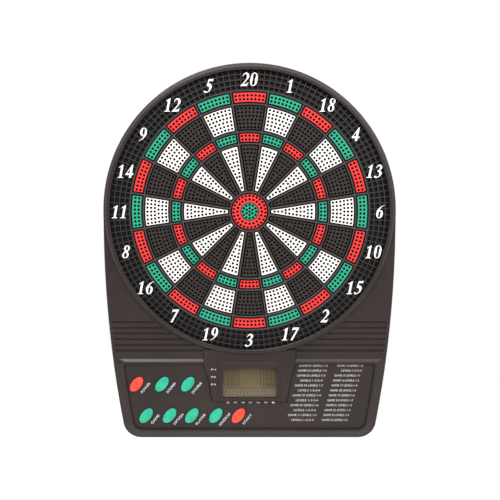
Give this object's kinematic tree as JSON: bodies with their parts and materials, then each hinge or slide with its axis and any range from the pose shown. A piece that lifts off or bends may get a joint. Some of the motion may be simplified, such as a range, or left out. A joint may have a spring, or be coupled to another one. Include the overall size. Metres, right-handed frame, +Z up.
{
  "type": "electronic dartboard",
  "caption": "Wall-hung electronic soft-tip dartboard: round perforated target, catch ring, LCD and oval buttons in a moulded case.",
  "frame": {"origin": "on the wall plane at the foot of the bull's-eye axis", "axes": "+Z up, +X to the player's right, +Y from the player towards the wall; the front faces -Y"},
  "size_m": [0.35, 0.03, 0.452],
  "materials": {
    "case_abs": "moulded, fine spark texture",
    "catch_abs": "moulded black",
    "spider_abs": "moulded black, satin",
    "black_segment": "moulded black",
    "white_segment": "moulded white",
    "red_segment": "moulded red",
    "green_segment": "moulded green",
    "red_rubber": "silicone key top",
    "green_rubber": "silicone key top",
    "mat_rubber": "translucent grey silicone",
    "clear_window": "clear acrylic sheet",
    "lcd_glass": "reflective display, off",
    "pet_film": "polyester film",
    "foam": "closed-cell foam",
    "hardboard": "pressed hardboard",
    "pcb_laminate": "solder mask",
    "chip_epoxy": "moulded epoxy",
    "speaker_cone": "paper cone and steel frame",
    "cell_jacket": "printed film over steel",
    "contact_steel": "nickel-plated spring steel",
    "screw_steel": "zinc-plated steel",
    "wire_pvc": "PVC insulation",
    "white_abs": "moulded white ABS"
  },
  "bodies": {
    "case": {"front_housing": "case_abs", "rear_cover": "case_abs", "catch_ring": "catch_abs", "spider": "spider_abs", "membrane_front": "pet_film", "membrane_spacer": "pet_film", "membrane_rear": "pet_film", "membrane_tail": "pet_film", "foam_pad": "foam", "backing_board": "hardboard", "keypad_mat": "mat_rubber", "main_pcb": "pcb_laminate", "controller_chip": "chip_epoxy", "lcd_window": "clear_window", "lcd_panel": "lcd_glass", "lcd_frame": "white_abs", "lcd_connector": "mat_rubber", "batteries": "cell_jacket", "battery_springs": "contact_steel", "battery_plates": "contact_steel", "speaker": "speaker_cone", "battery_leads": "wire_pvc", "speaker_leads": "wire_pvc", "housing_screws": "screw_steel", "inner_screws": "screw_steel"},
    "single_20": {"single_20": "black_segment"},
    "single_01": {"single_01": "white_segment"},
    "single_18": {"single_18": "black_segment"},
    "single_04": {"single_04": "white_segment"},
    "single_13": {"single_13": "black_segment"},
    "single_06": {"single_06": "white_segment"},
    "single_10": {"single_10": "black_segment"},
    "single_15": {"single_15": "white_segment"},
    "single_02": {"single_02": "black_segment"},
    "single_17": {"single_17": "white_segment"},
    "single_03": {"single_03": "black_segment"},
    "single_19": {"single_19": "white_segment"},
    "single_07": {"single_07": "black_segment"},
    "single_16": {"single_16": "white_segment"},
    "single_08": {"single_08": "black_segment"},
    "single_11": {"single_11": "white_segment"},
    "single_14": {"single_14": "black_segment"},
    "single_09": {"single_09": "white_segment"},
    "single_12": {"single_12": "black_segment"},
    "single_05": {"single_05": "white_segment"},
    "doubles_red": {"doubles_red": "red_segment"},
    "doubles_green": {"doubles_green": "green_segment"},
    "triples_red": {"triples_red": "red_segment"},
    "triples_green": {"triples_green": "green_segment"},
    "outer_bull": {"outer_bull": "red_segment"},
    "inner_bull": {"inner_bull": "green_segment"},
    "button_power": {"button_power": "red_rubber"},
    "button_sound": {"button_sound": "green_rubber"},
    "button_double_out": {"button_double_out": "green_rubber"},
    "button_game": {"button_game": "green_rubber"},
    "button_option": {"button_option": "green_rubber"},
    "button_player": {"button_player": "green_rubber"},
    "button_handicap": {"button_handicap": "green_rubber"},
    "button_start": {"button_start": "red_rubber"},
    "battery_door": {"battery_door": "case_abs"}
  },
  "joints": [
    {"name": "single_20_press", "type": "slide", "parent": "case", "child": "single_20", "axis": [0, 1, 0], "range_m": [0, 0.001], "stiffness_N_per_m": 600},
    {"name": "single_01_press", "type": "slide", "parent": "case", "child": "single_01", "axis": [0, 1, 0], "range_m": [0, 0.001], "stiffness_N_per_m": 600},
    {"name": "single_18_press", "type": "slide", "parent": "case", "child": "single_18", "axis": [0, 1, 0], "range_m": [0, 0.001], "stiffness_N_per_m": 600},
    {"name": "single_04_press", "type": "slide", "parent": "case", "child": "single_04", "axis": [0, 1, 0], "range_m": [0, 0.001], "stiffness_N_per_m": 600},
    {"name": "single_13_press", "type": "slide", "parent": "case", "child": "single_13", "axis": [0, 1, 0], "range_m": [0, 0.001], "stiffness_N_per_m": 600},
    {"name": "single_06_press", "type": "slide", "parent": "case", "child": "single_06", "axis": [0, 1, 0], "range_m": [0, 0.001], "stiffness_N_per_m": 600},
    {"name": "single_10_press", "type": "slide", "parent": "case", "child": "single_10", "axis": [0, 1, 0], "range_m": [0, 0.001], "stiffness_N_per_m": 600},
    {"name": "single_15_press", "type": "slide", "parent": "case", "child": "single_15", "axis": [0, 1, 0], "range_m": [0, 0.001], "stiffness_N_per_m": 600},
    {"name": "single_02_press", "type": "slide", "parent": "case", "child": "single_02", "axis": [0, 1, 0], "range_m": [0, 0.001], "stiffness_N_per_m": 600},
    {"name": "single_17_press", "type": "slide", "parent": "case", "child": "single_17", "axis": [0, 1, 0], "range_m": [0, 0.001], "stiffness_N_per_m": 600},
    {"name": "single_03_press", "type": "slide", "parent": "case", "child": "single_03", "axis": [0, 1, 0], "range_m": [0, 0.001], "stiffness_N_per_m": 600},
    {"name": "single_19_press", "type": "slide", "parent": "case", "child": "single_19", "axis": [0, 1, 0], "range_m": [0, 0.001], "stiffness_N_per_m": 600},
    {"name": "single_07_press", "type": "slide", "parent": "case", "child": "single_07", "axis": [0, 1, 0], "range_m": [0, 0.001], "stiffness_N_per_m": 600},
    {"name": "single_16_press", "type": "slide", "parent": "case", "child": "single_16", "axis": [0, 1, 0], "range_m": [0, 0.001], "stiffness_N_per_m": 600},
    {"name": "single_08_press", "type": "slide", "parent": "case", "child": "single_08", "axis": [0, 1, 0], "range_m": [0, 0.001], "stiffness_N_per_m": 600},
    {"name": "single_11_press", "type": "slide", "parent": "case", "child": "single_11", "axis": [0, 1, 0], "range_m": [0, 0.001], "stiffness_N_per_m": 600},
    {"name": "single_14_press", "type": "slide", "parent": "case", "child": "single_14", "axis": [0, 1, 0], "range_m": [0, 0.001], "stiffness_N_per_m": 600},
    {"name": "single_09_press", "type": "slide", "parent": "case", "child": "single_09", "axis": [0, 1, 0], "range_m": [0, 0.001], "stiffness_N_per_m": 600},
    {"name": "single_12_press", "type": "slide", "parent": "case", "child": "single_12", "axis": [0, 1, 0], "range_m": [0, 0.001], "stiffness_N_per_m": 600},
    {"name": "single_05_press", "type": "slide", "parent": "case", "child": "single_05", "axis": [0, 1, 0], "range_m": [0, 0.001], "stiffness_N_per_m": 600},
    {"name": "doubles_red_press", "type": "slide", "parent": "case", "child": "doubles_red", "axis": [0, 1, 0], "range_m": [0, 0.001], "stiffness_N_per_m": 600},
    {"name": "doubles_green_press", "type": "slide", "parent": "case", "child": "doubles_green", "axis": [0, 1, 0], "range_m": [0, 0.001], "stiffness_N_per_m": 600},
    {"name": "triples_red_press", "type": "slide", "parent": "case", "child": "triples_red", "axis": [0, 1, 0], "range_m": [0, 0.001], "stiffness_N_per_m": 600},
    {"name": "triples_green_press", "type": "slide", "parent": "case", "child": "triples_green", "axis": [0, 1, 0], "range_m": [0, 0.001], "stiffness_N_per_m": 600},
    {"name": "outer_bull_press", "type": "slide", "parent": "case", "child": "outer_bull", "axis": [0, 1, 0], "range_m": [0, 0.001], "stiffness_N_per_m": 600},
    {"name": "inner_bull_press", "type": "slide", "parent": "case", "child": "inner_bull", "axis": [0, 1, 0], "range_m": [0, 0.001], "stiffness_N_per_m": 600},
    {"name": "power_press", "type": "slide", "parent": "case", "child": "button_power", "axis": [0, 1, 0], "range_m": [0, 0.0012], "stiffness_N_per_m": 500},
    {"name": "sound_press", "type": "slide", "parent": "case", "child": "button_sound", "axis": [0, 1, 0], "range_m": [0, 0.0012], "stiffness_N_per_m": 500},
    {"name": "double_out_press", "type": "slide", "parent": "case", "child": "button_double_out", "axis": [0, 1, 0], "range_m": [0, 0.0012], "stiffness_N_per_m": 500},
    {"name": "game_press", "type": "slide", "parent": "case", "child": "button_game", "axis": [0, 1, 0], "range_m": [0, 0.0012], "stiffness_N_per_m": 500},
    {"name": "option_press", "type": "slide", "parent": "case", "child": "button_option", "axis": [0, 1, 0], "range_m": [0, 0.0012], "stiffness_N_per_m": 500},
    {"name": "player_press", "type": "slide", "parent": "case", "child": "button_player", "axis": [0, 1, 0], "range_m": [0, 0.0012], "stiffness_N_per_m": 500},
    {"name": "handicap_press", "type": "slide", "parent": "case", "child": "button_handicap", "axis": [0, 1, 0], "range_m": [0, 0.0012], "stiffness_N_per_m": 500},
    {"name": "start_press", "type": "slide", "parent": "case", "child": "button_start", "axis": [0, 1, 0], "range_m": [0, 0.0012], "stiffness_N_per_m": 500},
    {"name": "battery_door_release", "type": "slide", "parent": "case", "child": "battery_door", "axis": [0, 1, 0], "range_m": [0, 0.02]}
  ]
}
